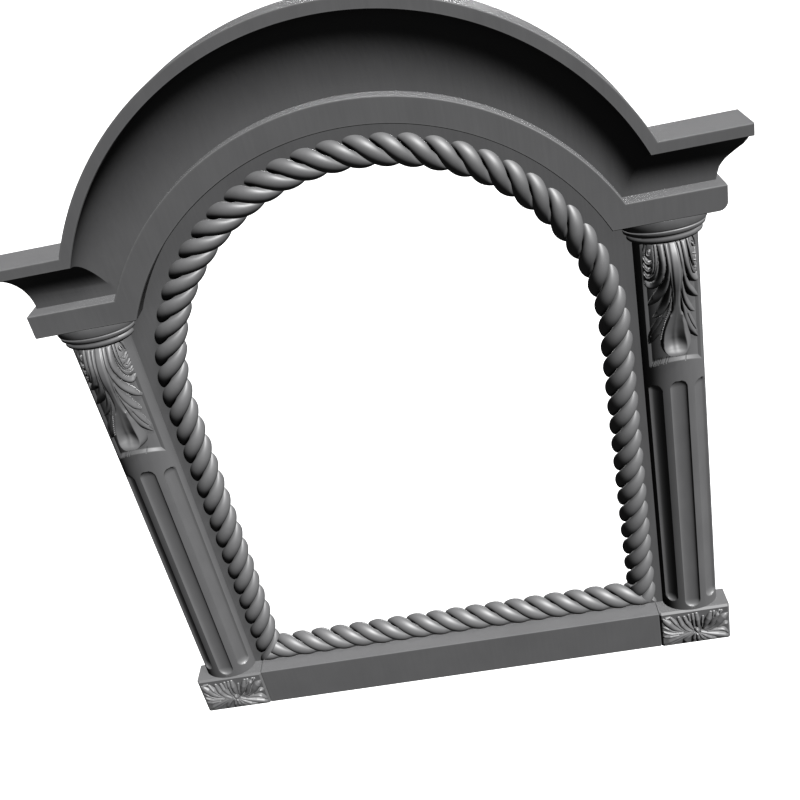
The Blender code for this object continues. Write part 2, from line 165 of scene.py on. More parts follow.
def newGroup(name, inputs, outputs):
    tree = bpy.data.node_groups.new(name, "ShaderNodeTree")
    for label, value in inputs:
        socket = tree.interface.new_socket(label, in_out="INPUT", socket_type="NodeSocketFloat")
        socket.default_value = value
    for label in outputs:
        tree.interface.new_socket(label, in_out="OUTPUT", socket_type="NodeSocketFloat")
    return tree, addNode(tree, "NodeGroupInput"), addNode(tree, "NodeGroupOutput")


effectSizes = {
    "streakDetail": 3.0, "cloudScale": 34.0, "cloudDetail": 4.0, "cloudShare": 0.6,
    "spotScale": 260.0, "spotDetail": 5.0, "spotGain": 1.6, "spotStart": -0.3,
    "driftScale": 90.0, "driftDetail": 3.0,
}


def makeBrushMarks(size):  # long soft streaks of the brush, over broad clouds of tone
    tree, given, result = newGroup("brushMarks", [("Across", 420.0), ("Along", 26.0)],
                                   ["Tone", "Height"])
    place = addNode(tree, "ShaderNodeTexCoord").outputs["Object"]
    stretch = addNode(tree, "ShaderNodeCombineXYZ")
    for socket, label in zip(stretch.inputs, ("Across", "Across", "Along")):
        link(tree, given.outputs[label], socket)
    scaled = addNode(tree, "ShaderNodeVectorMath", operation="MULTIPLY")
    link(tree, place, scaled.inputs[0])
    link(tree, stretch.outputs[0], scaled.inputs[1])
    streaks = addNoise(tree, scaled.outputs[0], 1.0, size["streakDetail"])
    clouds = addNoise(tree, place, size["cloudScale"], size["cloudDetail"])
    mixed = mathNode(tree, "MULTIPLY", clouds, size["cloudShare"])
    mixed = mathNode(tree, "MULTIPLY_ADD", streaks, 1.0 - size["cloudShare"], mixed)
    link(tree, mixed, result.inputs["Tone"])
    link(tree, streaks, result.inputs["Height"])
    return tree


def putOutMask(tree, mask, given, result):  # at the strength asked for, held between 0 and 1
    held = addNode(tree, "ShaderNodeClamp")
    link(tree, mathNode(tree, "MULTIPLY", mask, given.outputs["Amount"]), held.inputs["Value"])
    link(tree, held.outputs[0], result.inputs["Mask"])


def makeRubbedEdges(size):  # crests rubbed lighter, broken up by noise
    tree, given, result = newGroup("rubbedEdges", [("Amount", 0.5)], ["Mask"])
    worn = addNode(tree, "ShaderNodeAttribute", attribute_name="wear")
    place = addNode(tree, "ShaderNodeTexCoord").outputs["Object"]
    breakUp = addNoise(tree, place, size["spotScale"], size["spotDetail"])
    spots = mathNode(tree, "MULTIPLY_ADD", breakUp, size["spotGain"], size["spotStart"])
    putOutMask(tree, mathNode(tree, "MULTIPLY", worn.outputs["Fac"], spots), given, result)
    return tree


def makeSettledDust(size):  # a dull film in the hollows
    tree, given, result = newGroup("settledDust", [("Amount", 0.5)], ["Mask"])
    hollow = addNode(tree, "ShaderNodeAttribute", attribute_name="hollow")
    place = addNode(tree, "ShaderNodeTexCoord").outputs["Object"]
    drift = addNoise(tree, place, size["driftScale"], size["driftDetail"])
    putOutMask(tree, mathNode(tree, "MULTIPLY", hollow.outputs["Fac"], drift), given, result)
    return tree


brushMarks = makeBrushMarks(effectSizes)
rubbedEdges = makeRubbedEdges(effectSizes)
settledDust = makeSettledDust(effectSizes)


def useGroup(tree, group, **values):
    node = addNode(tree, "ShaderNodeGroup", node_tree=group)
    for label, value in values.items():
        node.inputs[label].default_value = value
    return node


def mixColours(tree, factor, first, second):
    node = addNode(tree, "ShaderNodeMix", data_type="RGBA", blend_type="MIX")
    link(tree, factor, node.inputs["Factor"])
    for socket, value in ((node.inputs[6], first), (node.inputs[7], second)):
        if isinstance(value, tuple):
            socket.default_value = value + (1.0,)
        else:
            link(tree, value, socket)
    return node.outputs[2]


def makePaint(name, look):
    material = bpy.data.materials.new(name)
    material.use_nodes = True
    tree = material.node_tree
    shader = tree.nodes["Principled BSDF"]
    marks = useGroup(tree, brushMarks, Across=look["grainAcross"], Along=look["grainAlong"])
    rubbed = useGroup(tree, rubbedEdges, Amount=look["rubbed"])
    dust = useGroup(tree, settledDust, Amount=look["dust"])
    shades = addNode(tree, "ShaderNodeMapRange")
    link(tree, marks.outputs["Tone"], shades.inputs["Value"])
    shades.inputs["From Min"].default_value = look["darkerTone"]
    shades.inputs["From Max"].default_value = look["lighterTone"]
    colour = mixColours(tree, shades.outputs["Result"], look["darker"], look["lighter"])
    colour = mixColours(tree, dust.outputs["Mask"], colour, look["dustColour"])
    colour = mixColours(tree, rubbed.outputs["Mask"], colour, look["rubbedColour"])
    link(tree, colour, shader.inputs["Base Color"])
    gloss = mathNode(tree, "MULTIPLY_ADD", marks.outputs["Tone"], look["roughnessSpread"],
                     look["roughness"] - look["roughnessSpread"] / 2)
    gloss = mathNode(tree, "MULTIPLY_ADD", dust.outputs["Mask"], look["dustDulls"], gloss)
    link(tree, gloss, shader.inputs["Roughness"])
    bump = addNode(tree, "ShaderNodeBump")
    bump.inputs["Strength"].default_value = look["bump"]
    bump.inputs["Distance"].default_value = look["bumpDepth"] * mm
    link(tree, marks.outputs["Height"], bump.inputs["Height"])
    link(tree, bump.outputs["Normal"], shader.inputs["Normal"])
    shader.inputs["Specular IOR Level"].default_value = look["specular"]
    material.diffuse_color = look["lighter"] + (1.0,)
    return material


flatLook = {
    "darker": (0.098, 0.098, 0.100), "lighter": (0.108, 0.108, 0.110),
    "rubbedColour": (0.20, 0.20, 0.20), "dustColour": (0.13, 0.13, 0.128),
    "darkerTone": 0.35, "lighterTone": 0.65, "rubbed": 0.35, "dust": 0.4, "dustDulls": 0.3,
    "roughness": 0.6, "roughnessSpread": 0.12, "specular": 0.4,
    "grainAcross": 420.0, "grainAlong": 26.0, "bump": 0.10, "bumpDepth": 0.4,
}
boardLook = dict(flatLook, roughness=0.58, bump=0.14, specular=0.3)
carvedLook = dict(flatLook, roughness=0.52, rubbed=0.15, specular=1.0, bump=0.05,
                  grainAcross=300.0, grainAlong=60.0)
ropeLook = dict(carvedLook, roughness=0.54, grainAcross=240.0, grainAlong=240.0)

flatPaint = makePaint("flatPaint", flatLook)
boardPaint = makePaint("boardPaint", boardLook)
carvedPaint = makePaint("carvedPaint", carvedLook)
ropePaint = makePaint("ropePaint", ropeLook)
print("paints ready")


# Ground board: its solid has the right shape and keeps it
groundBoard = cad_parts["ground_board"]
groundBoard.data.materials.clear()
groundBoard.data.materials.append(boardPaint)
boardLow, boardHigh = boxInMm("ground_board")
boardFront = -boardLow.y  # how far the board's face stands before the back plane
print("board painted")


# The board's outline, cut out of the backs of the pieces that lie over it
seatSizes = {"shoulder": 390.1, "arcHeight": 296.2, "steps": 160}


def seatTool(size):
    radius = boardHigh.z - size["arcHeight"] + wallGap
    half = boardHigh.x + wallGap
    shoulder = size["shoulder"] + wallGap
    start = math.asin((shoulder - size["arcHeight"]) / radius)
    outline = [(-half, boardLow.z - wallGap), (half, boardLow.z - wallGap), (half, shoulder)]
    for i in range(size["steps"] + 1):
        angle = start + (math.pi - 2 * start) * i / size["steps"]
        outline.append((radius * math.cos(angle), size["arcHeight"] + radius * math.sin(angle)))
    outline.append((-half, shoulder))
    return makePrism("seat", outline, -boardFront - wallGap)


seat = seatTool(seatSizes)


# Cornice: a fillet, a cove and a fascia, carried along the returns and over the arch
corniceSizes = {
    "top": 434.4, "arcHeight": 296.2, "arcRadius": 237.8, "hoodHeight": 338.8, "hoodRadius": 214.9,
    "fillet": 7.8, "coveEnd": 39.5, "fasciaEnd": 56.3, "coveDepth": 10.0, "fasciaDepth": 23.2,
    "coveSideSet": 18.0, "fasciaSideSet": 15.0,
    # the right return's cove turns in late: (degrees down the cove, set in from the end)
    "rightTurn": ((0, 0.0), (35, 0.0), (45, 1.5), (55, 6.5), (65, 12.0), (74, 15.3), (90, 17.5)),
    "rightFasciaSet": 13.8, "wornCorner": 6.5, "wornSteps": 12,
    "edge": 0.5, "edgeRound": 0.3, "wearReach": 3, "coveSteps": 18, "arcSteps": 150,
    "smoothAngle": 12,
}


def corniceRows(size, front):  # drop below the top, depth, set in at left and right, wear
    edge, fillet, coveEnd, fasciaEnd = (
        size[name] for name in ("edge", "fillet", "coveEnd", "fasciaEnd"))
    near, far = size["edgeRound"] * edge, size["wearReach"] * edge
    rows = [(0.0, front - edge, 0.0, 0.0, 0.15), (near, front - near, 0.0, 0.0, 1.0),
            (edge, front, 0.0, 0.0, 0.9), (far, front, 0.0, 0.0, 0.0),
            (fillet - far, front, 0.0, 0.0, 0.0), (fillet - edge, front, 0.0, 0.0, 0.5),
            (fillet, front - edge, edge / 2, 0.0, 0.4)]
    turns, rightSets = zip(*size["rightTurn"])
    for i in range(1, size["coveSteps"] + 1):
        turn = math.pi / 2 * i / size["coveSteps"]
        drop = coveEnd - (coveEnd - fillet) * math.cos(turn)
        depth = front - (front - size["coveDepth"]) * math.sin(turn)
        rightSet = float(np.interp(math.degrees(turn), turns, rightSets))
        rows.append((drop, depth, size["coveSideSet"] * math.sin(turn), rightSet, 0.0))
    depth, left, right = size["fasciaDepth"], size["fasciaSideSet"], size["rightFasciaSet"]
    fascia = ((coveEnd, far, edge, 0.0), (coveEnd, edge, edge / 2, 0.9),
              (coveEnd + near, near, 0.0, 1.0), (coveEnd + edge, 0.0, 0.0, 0.9),
              (coveEnd + far, 0.0, 0.0, 0.0), (fasciaEnd - far, 0.0, 0.0, 0.0),
              (fasciaEnd - edge, 0.0, 0.0, 0.7), (fasciaEnd, edge, 0.0, 0.15))
    for drop, back, further, wear in fascia:
        rows.append((drop, depth - back, left + further, right + further, wear))
    return rows


def corniceArc(size, drop):  # the cove passes from the fillet's arc to the fascia's
    if drop <= size["fillet"]:
        return size["hoodHeight"], size["hoodRadius"] - drop
    share = min(1.0, (drop - size["fillet"]) / (size["coveEnd"] - size["fillet"]))
    centre = size["hoodHeight"] + (size["arcHeight"] - size["hoodHeight"]) * share
    upper = size["hoodRadius"] - size["fillet"]
    lower = size["arcRadius"] - max(drop, size["coveEnd"])
    return centre, upper + (lower - upper) * share


def corniceEdge(size, halfWidth, drop, depth, leftSet, rightSet):
    height = size["top"] - drop
    centre, radius = corniceArc(size, drop)
    start = math.asin((height - centre) / radius)
    edge = size["edge"]
    near = size["edgeRound"] * edge

    def endLine(endX):  # from the back plane round the front corner
        return [(endX, backPlane, height), (endX, -depth + edge, height),
                (endX - near, -depth + near, height), (endX - edge, -depth, height)]

    line = [(-x, y, z) for x, y, z in endLine(halfWidth - leftSet)]
    for i in range(size["arcSteps"] + 1):
        angle = math.pi - start - (math.pi - 2 * start) * i / size["arcSteps"]
        line.append((radius * math.cos(angle), -depth, centre + radius * math.sin(angle)))
    return line + endLine(halfWidth - rightSet)[::-1]


def wornCornerTool(size, halfWidth):  # rounds off the lower right corner of the fascia
    edgeX = halfWidth - size["rightFasciaSet"]
    foot, radius = size["top"] - size["fasciaEnd"], size["wornCorner"]
    past = 4.0  # the tool's own outer sides stand clear of the wood
    outline = [(edgeX + past, foot - past), (edgeX + past, foot + radius)]
    for i in range(size["wornSteps"] + 1):
        angle = math.pi / 2 * i / size["wornSteps"]
        outline.append((edgeX - radius + radius * math.cos(angle),
                        foot + radius - radius * math.sin(angle)))
    outline.append((edgeX - radius, foot - past))
    return makePrism("wornCorner", outline, toolFront)


def buildCornice(size):
    low, high = boxInMm("cornice")
    rows = corniceRows(size, -low.y)
    lines = [corniceEdge(size, high.x, *row[:4]) for row in rows]
    width, count = len(lines[0]), len(lines)
    points = [point for line in lines for point in line]
    wear = np.repeat([row[4] for row in rows], width)
    faces = gridFaces(count, width)
    rims = []
    for first in (0, (count - 1) * width):  # the back edge above and below
        start = len(points)
        points += [(x, backPlane, z) for x, y, z in points[first + 3:first + width - 3]]
        rim = list(range(start, len(points)))
        faces.append((first, first + 1, first + 2, first + 3, rim[0]))
        for i in range(len(rim) - 1):
            faces.append((first + i + 3, first + i + 4, rim[i + 1], rim[i]))
        last = first + width - 1
        faces.append((last - 3, last - 2, last - 1, last, rim[-1]))
        rims.append(rim)
    leftEnd = [row * width for row in range(count)]
    rightEnd = [index + width - 1 for index in leftEnd]
    faces.append(tuple(leftEnd[::-1] + rims[0] + rightEnd + rims[1][::-1]))
    piece = makeMesh("corniceMoulding", points, faces)
    storeMask(piece, "wear", np.concatenate([wear, np.zeros(len(points) - len(wear))]))
    corner = wornCornerTool(size, high.x)
    cutAway(piece, corner)
    cutAway(piece, seat)
    bpy.data.objects.remove(corner)
    finishPiece(piece, "cornice", flatPaint, size["smoothAngle"])


buildCornice(corniceSizes)
print("cornice built")


# Base rail: a plain length of wood with softened edges
railSizes = {"edge": 0.6, "edgeSteps": 3, "smoothAngle": 12}


def buildRail(size):
    low, high = boxInMm("base_rail")
    corners = [(low.y, high.z), (high.y, high.z), (high.y, low.z), (low.y, low.z)]
    points = [(x, y, z) for x in (low.x, high.x) for y, z in corners]
    piece = makeMesh("railMoulding", points, prismFaces(len(corners)))
    soften = piece.modifiers.new("soften", "BEVEL")
    soften.width = size["edge"] * mm
    soften.segments = size["edgeSteps"]
    bakeModifiers(piece)
    cutAway(piece, seat)
    finishPiece(piece, "base_rail", flatPaint, size["smoothAngle"])


buildRail(railSizes)
print("rail built")


# Rope moulding: one node tree winds three strands along a path
ropeSizes = {
    "halfWidth": 160.6, "radius": 11.6, "grooveRadius": 5.2, "fullness": 0.33, "axisDepth": 1.4,
    "strands": 3, "pitch": 16.8, "sidePhase": 14.1, "bottomPhase": 9.9, "overrun": 16.0,
    "arcHeight": 296.2, "footLift": 11.9, "station": 0.9, "around": 60, "arcPoints": 240,
    "rubbedFrom": 0.82, "dustFade": 2.2,  # shares of the way from the groove to the crest
    "smoothAngle": 50,
}


def makeRopeTree():
    tree = bpy.data.node_groups.new("ropeWinding", "GeometryNodeTree")
    tree.interface.new_socket("Path", in_out="INPUT", socket_type="NodeSocketGeometry")
    for label in ("Strands", "Around"):
        tree.interface.new_socket(label, in_out="INPUT", socket_type="NodeSocketInt")
    for label in ("Crest Radius", "Groove Radius", "Fullness", "Lead", "Start", "Station"):
        tree.interface.new_socket(label, in_out="INPUT", socket_type="NodeSocketFloat")
    tree.interface.new_socket("Paint", in_out="INPUT", socket_type="NodeSocketMaterial")
    tree.interface.new_socket("Rope", in_out="OUTPUT", socket_type="NodeSocketGeometry")
    given = addNode(tree, "NodeGroupInput").outputs
    result = addNode(tree, "NodeGroupOutput")

    # the section: round, with its radius drawn in between the strands
    circle = addNode(tree, "GeometryNodeCurvePrimitiveCircle", mode="RADIUS")
    link(tree, given["Around"], circle.inputs["Resolution"])
    circle.inputs["Radius"].default_value = 1.0
    place = addNode(tree, "GeometryNodeInputPosition")
    axes = addNode(tree, "ShaderNodeSeparateXYZ")
    link(tree, place.outputs[0], axes.inputs[0])
    angle = mathNode(tree, "ARCTAN2", axes.outputs["Y"], axes.outputs["X"])
    sector = mathNode(tree, "DIVIDE", 2 * math.pi, given["Strands"])
    half = mathNode(tree, "MULTIPLY", sector, 0.5)
    lower = mathNode(tree, "MULTIPLY", half, -1.0)
    within = mathNode(tree, "WRAP", angle, half, lower)
    share = mathNode(tree, "DIVIDE", within, half)
    bulge = mathNode(tree, "COSINE", mathNode(tree, "MULTIPLY", share, math.pi / 2))
    bulge = mathNode(tree, "POWER", mathNode(tree, "MAXIMUM", bulge, 0.0), given["Fullness"])
    rise = mathNode(tree, "SUBTRACT", given["Crest Radius"], given["Groove Radius"])
    radius = mathNode(tree, "MULTIPLY_ADD", bulge, rise, given["Groove Radius"])
    swollen = addNode(tree, "ShaderNodeVectorMath", operation="SCALE")
    link(tree, place.outputs[0], swollen.inputs[0])
    link(tree, radius, swollen.inputs["Scale"])
    section = addNode(tree, "GeometryNodeSetPosition")
    link(tree, circle.outputs["Curve"], section.inputs["Geometry"])
    link(tree, swollen.outputs[0], section.inputs["Position"])

    # the path: even stations, a fixed forward direction, and a turn that grows with length
    stations = addNode(tree, "GeometryNodeResampleCurve", mode="LENGTH")
    link(tree, given["Path"], stations.inputs["Curve"])
    link(tree, given["Station"], stations.inputs["Length"])
    facing = addNode(tree, "GeometryNodeSetCurveNormal", mode="FREE")
    link(tree, stations.outputs[0], facing.inputs["Curve"])
    facing.inputs["Normal"].default_value = (0.0, -1.0, 0.0)
    travel = addNode(tree, "GeometryNodeSplineParameter")
    gone = mathNode(tree, "SUBTRACT", travel.outputs["Length"], given["Start"])
    turns = mathNode(tree, "DIVIDE", gone, given["Lead"])
    tilt = addNode(tree, "GeometryNodeSetCurveTilt")
    link(tree, facing.outputs[0], tilt.inputs["Curve"])
    link(tree, mathNode(tree, "MULTIPLY", turns, 2 * math.pi), tilt.inputs["Tilt"])

    sweep = addNode(tree, "GeometryNodeCurveToMesh")
    link(tree, tilt.outputs[0], sweep.inputs["Curve"])
    link(tree, section.outputs[0], sweep.inputs["Profile Curve"])
    sweep.inputs["Fill Caps"].default_value = True
    real = addNode(tree, "GeometryNodeRealizeInstances")
    link(tree, sweep.outputs["Mesh"], real.inputs["Geometry"])
    painted = addNode(tree, "GeometryNodeSetMaterial")
    link(tree, real.outputs["Geometry"], painted.inputs["Geometry"])
    link(tree, given["Paint"], painted.inputs["Material"])
    link(tree, painted.outputs[0], result.inputs["Rope"])
    return tree


ropeTree = makeRopeTree()


def ropePath(name, points, size):  # points are (across, height) on the rope's axis
    curve = bpy.data.curves.new(name, "CURVE")
    curve.dimensions = "3D"
    spline = curve.splines.new("POLY")
    spline.points.add(len(points) - 1)
    placed = toMetres([(x, -size["axisDepth"], z) for x, z in points])
    for point, (x, y, z) in zip(spline.points, placed):
        point.co = (x, y, z, 1.0)
    return addObject(name, curve)


def windRope(path, size, start):
    winding = path.modifiers.new("winding", "NODES")
    winding.node_group = ropeTree
    values = {
        "Strands": size["strands"], "Around": size["around"], "Crest Radius": size["radius"] * mm,
        "Groove Radius": size["grooveRadius"] * mm, "Fullness": size["fullness"],
        "Lead": size["strands"] * size["pitch"] * mm, "Start": start * mm,
        "Station": size["station"] * mm, "Paint": ropePaint,
    }
    for item in ropeTree.interface.items_tree:
        if item.in_out == "INPUT" and item.name in values:
            winding[item.identifier] = values[item.name]
    return bakeModifiers(path)


def archPoints(size, foot):
    half, high = size["halfWidth"], size["arcHeight"]
    points = [(-half, foot - size["overrun"])]
    for i in range(size["arcPoints"] + 1):
        angle = math.pi * (1 - i / size["arcPoints"])
        points.append((half * math.cos(angle), high + half * math.sin(angle)))
    return points + [(half, foot - size["overrun"])]


def boardSpaceTool(size, foot):  # the board, and the wall behind it, as one closed body
    radius = size["halfWidth"]
    rim = [(-radius, foot + wallGap), (radius, foot + wallGap)]
    for i in range(size["arcPoints"] + 1):
        angle = math.pi * i / size["arcPoints"]
        rim.append((radius * math.cos(angle), size["arcHeight"] + radius * math.sin(angle)))
    middle, spread, behind = 200.0, 1.25, 25.0  # the outer outline is the rim's, made larger
    outer = [(x * spread, middle + (z - middle) * spread) for x, z in rim]
    face = -boardFront - wallGap
    count = len(rim)
    points = [(x, face, z) for x, z in rim] + [(x, backPlane, z) for x, z in rim]
    points += [(x, face, z) for x, z in outer] + [(x, behind, z) for x, z in outer]
    faces = [tuple(range(count, 2 * count)), tuple(range(3 * count, 4 * count))]
    for first, second in ((0, 1), (0, 2), (2, 3)):
        for i in range(count):
            j = (i + 1) % count
            low, high = first * count, second * count
            faces.append((low + i, low + j, high + j, high + i))
    return makeMesh("boardSpace", points, faces)


def mitreCut(piece, x, foot, keepSide):  # a 45 degree cut at one lower corner
    shape = bmesh.new()
    shape.from_mesh(piece.data)
    reach = 40.0  # only the faces this near the corner are cut
    side = 1.0 if x > 0 else -1.0
    level = foot * mm + railFoot
    near = {v for v in shape.verts
            if abs(v.co.x - x * mm) < reach * mm and v.co.z < level + reach * mm}
    faces = [f for f in shape.faces if any(v in near for v in f.verts)]
    edges = dict.fromkeys(e for f in faces for e in f.edges)  # keeps their order, run after run
    verts = dict.fromkeys(v for f in faces for v in f.verts)
    normal = Vector((side, 0.0, 1.0)).normalized() * keepSide
    cut = bmesh.ops.bisect_plane(
        shape, geom=list(verts) + list(edges) + faces, plane_co=(x * mm, 0.0, level),
        plane_no=normal, clear_inner=True, dist=1e-7)
    rim = [e for e in cut["geom_cut"] if isinstance(e, bmesh.types.BMEdge) and e.is_boundary]
    bmesh.ops.holes_fill(shape, edges=rim, sides=0)
    bmesh.ops.recalc_face_normals(shape, faces=shape.faces)
    shape.to_mesh(piece.data)
    shape.free()


def ropeMasks(piece, size, axisAway):  # rubbed crests, dust down in the grooves
    flat = np.empty(len(piece.data.vertices) * 3, np.float32)
    piece.data.vertices.foreach_get("co", flat)
    place = flat.reshape(-1, 3) / mm
    away = axisAway(place[:, 0], place[:, 2] - railFoot / mm)
    radius = np.hypot(away, place[:, 1] + size["axisDepth"])
    share = (radius - size["grooveRadius"]) / (size["radius"] - size["grooveRadius"])
    rubbed = np.clip((share - size["rubbedFrom"]) / (1 - size["rubbedFrom"]), 0, 1)
    storeMask(piece, "wear", rubbed ** 2)
    storeMask(piece, "hollow", np.clip(1 - share * size["dustFade"], 0, 1))


def buildRopes(size):
    foot = boxInMm("base_rail")[1].z + size["footLift"]
    half, high, overrun = size["halfWidth"], size["arcHeight"], size["overrun"]
    tool = boardSpaceTool(size, foot)
    arch = windRope(ropePath("ropeArch", archPoints(size, foot), size), size,
                    overrun + size["sidePhase"])
    bottomEnd = half + overrun
    bottom = windRope(ropePath("ropeBottom", [(-bottomEnd, foot), (bottomEnd, foot)], size), size,
                      overrun + size["bottomPhase"])
    for x in (-half - wallGap, half + wallGap):
        mitreCut(arch, x, foot, 1)
    for x in (-half, half):
        mitreCut(bottom, x, foot, -1)

    def fromArch(x, height):  # how far outside the arch's axis a point stands
        return np.where(height > high, np.hypot(x, height - high), np.abs(x)) - half

    def fromBottom(x, height):
        return height - foot

    for rope, node, axisAway in ((arch, "rope_arch", fromArch),
                                 (bottom, "rope_bottom", fromBottom)):
        cutAway(rope, tool)
        ropeMasks(rope, size, axisAway)
        finishPiece(rope, node, ropePaint, size["smoothAngle"])
    bpy.data.objects.remove(tool)


buildRopes(ropeSizes)
print("ropes wound")


# Carved relief: each blade is a rounded ridge along a bent line
carvingSizes = {
    "lineCuts": 6, "tableCuts": 10,  # steps from one entry to the next, in a line and a table
    "grooveWidth": 0.28,  # share of the blade's half width
    "meetFrom": 0.4, "meetFull": 1.6,  # a crease deepens as the lower of two blades rises so far
    "maskBlur": 6, "maskGain": 2.0,
}


def smoothLine(points, cuts=carvingSizes["lineCuts"]):  # a smooth curve through the points
    control = [points[0]] + list(points) + [points[-1]]
    line = []
    for a, b, c, d in zip(control, control[1:], control[2:], control[3:]):
        for i in range(cuts):
            t = i / cuts
            line.append(tuple(0.5 * (2 * q + (r - p) * t + (2 * p - 5 * q + 4 * r - s) * t * t
                                     + (3 * q - p - 3 * r + s) * t ** 3)
                              for p, q, r, s in zip(a, b, c, d)))
    return line + [points[-1]]


def alongLine(u, v, points):  # distance to the line, its side, and the share along it
    nearest = np.full(u.shape, 1e9)
    share = np.zeros(u.shape)
    side = np.zeros(u.shape)
    spans = len(points) - 1
    for i, (start, end) in enumerate(zip(points, points[1:])):
        runU, runV = end[0] - start[0], end[1] - start[1]
        length = runU * runU + runV * runV
        offU, offV = u - start[0], v - start[1]
        t = np.clip((offU * runU + offV * runV) / length, 0.0, 1.0)
        distance = np.hypot(offU - t * runU, offV - t * runV)
        closer = distance < nearest
        nearest = np.where(closer, distance, nearest)
        share = np.where(closer, (i + t) / spans, share)
        side = np.where(closer, np.sign(offU * runV - offV * runU), side)
    return nearest, side, share


def blade(u, v, line, widths, heights, groove=0.0, lean=0.0):
    distance, side, share = alongLine(u, v, smoothLine(line))
    width = np.interp(share, np.linspace(0.0, 1.0, len(widths)), widths)
    height = np.interp(share, np.linspace(0.0, 1.0, len(heights)), heights)
    across = np.clip(distance / width, 0.0, 1.0)
    body = height * (1.0 - across ** 2) ** 0.5 * (1.0 + lean * side * across)
    if groove:
        body = body - groove * np.exp(-(across / carvingSizes["grooveWidth"]) ** 2)
    return np.where(across < 1.0, body, 0.0)


def creases(highest, second, size):  # a sharp valley where two blades meet
    start, full = carvingSizes["meetFrom"], carvingSizes["meetFull"]
    depth = size["crease"] * np.clip((second - start) / (full - start), 0.0, 1.0)
    return depth * np.exp(-((highest - second) / size["creaseWidth"]) ** 2)


def smoothTable(value, table):
    places, amounts = zip(*sorted(smoothLine(table, carvingSizes["tableCuts"])))
    return np.interp(value, places, amounts)


def easeInOut(share):  # from 0 to 1, level at both ends
    share = np.clip(share, 0.0, 1.0)
    return share * share * (3.0 - 2.0 * share)


def easeOut(share):  # from 0 to 1, level at the far end
    share = np.clip(share, 0.0, 1.0)
    return share * (2.0 - share)


def storeReliefMasks(piece, relief):  # wear where the relief stands proud of its surroundings
    blurred = relief.copy()
    for _ in range(carvingSizes["maskBlur"]):
        padded = np.pad(blurred, 1, mode="edge")
        blurred = (padded[:-2, 1:-1] + padded[2:, 1:-1] + padded[1:-1, :-2] + padded[1:-1, 2:]) / 4
    proud = (relief - blurred).ravel() * carvingSizes["maskGain"]
    rest = np.zeros(len(piece.data.vertices) - relief.size)
    storeMask(piece, "wear", np.concatenate([np.clip(proud, 0, 1), rest]))
    storeMask(piece, "hollow", np.concatenate([np.clip(-proud, 0, 1), rest]))


# Half columns: flutes below, and a leaf in a sunk panel under the neck rings
columnSizes = {
    "axisX": 198.5, "halfWidth": 21.9, "depth": 15.0, "smoothAngle": 50,
    "flutes": ((48.0, 17.0, 45.4, 252.6), (0.0, 16.0, 40.4, 255.6)),  # middle, half, foot, top
    "fluteDepth": 2.6, "fluteRound": 6.0,
    # the sloping foot of the leaf's panel falls towards its sides
    "ledge": 272.2, "ledgeFall": 5.8, "ledgeSpan": 60.0, "ledgeTall": 2.7, "ledgeStart": 0.6,
    # chips across the ledge: places in degrees, then the slant in degrees for each millimetre
    "nicks": (-52.0, -45.0, -41.5, -38.0, -34.0, -24.0, -19.0, 16.0), "nickSlant": 1.3,
    "nickWidth": 0.9, "nickDepth": 0.55, "nickMiddle": 0.4,
    "panelDepth": 1.6, "panelHalfAngle": 57.0, "wall": 2.2, "degreeLength": 0.35,
    "neck": ((361.6, 0.0), (361.9, 0.9), (362.3, 1.7), (362.9, 2.6), (363.6, 3.2), (364.3, 3.4),
             (365.0, 3.25), (365.7, 2.8), (366.3, 2.2), (366.9, 2.5), (367.3, 3.6), (367.5, 4.6),
             (367.9, 5.2), (370.0, 5.7), (370.3, 5.5), (370.5, 4.8), (370.9, 4.7), (371.1, 5.4),
             (371.3, 6.1), (371.7, 6.4), (377.3, 7.2), (377.8, 6.9)),
    "neckDepthShare": 0.42,
    "angleStep": 0.6, "flankStep": 3.0, "panelMargin": 2.0,
    # levels of the mesh, close together where the shaft is carved: (from, below, step)
    "levels": ((36.7, 37.3, 0.4), (40.1, 53.4, 0.5), (60.4, 235.6, 12.0), (243.6, 256.2, 0.5),
               (260.0, 264.0, 3.0), (265.0, 361.55, 0.34)),
}
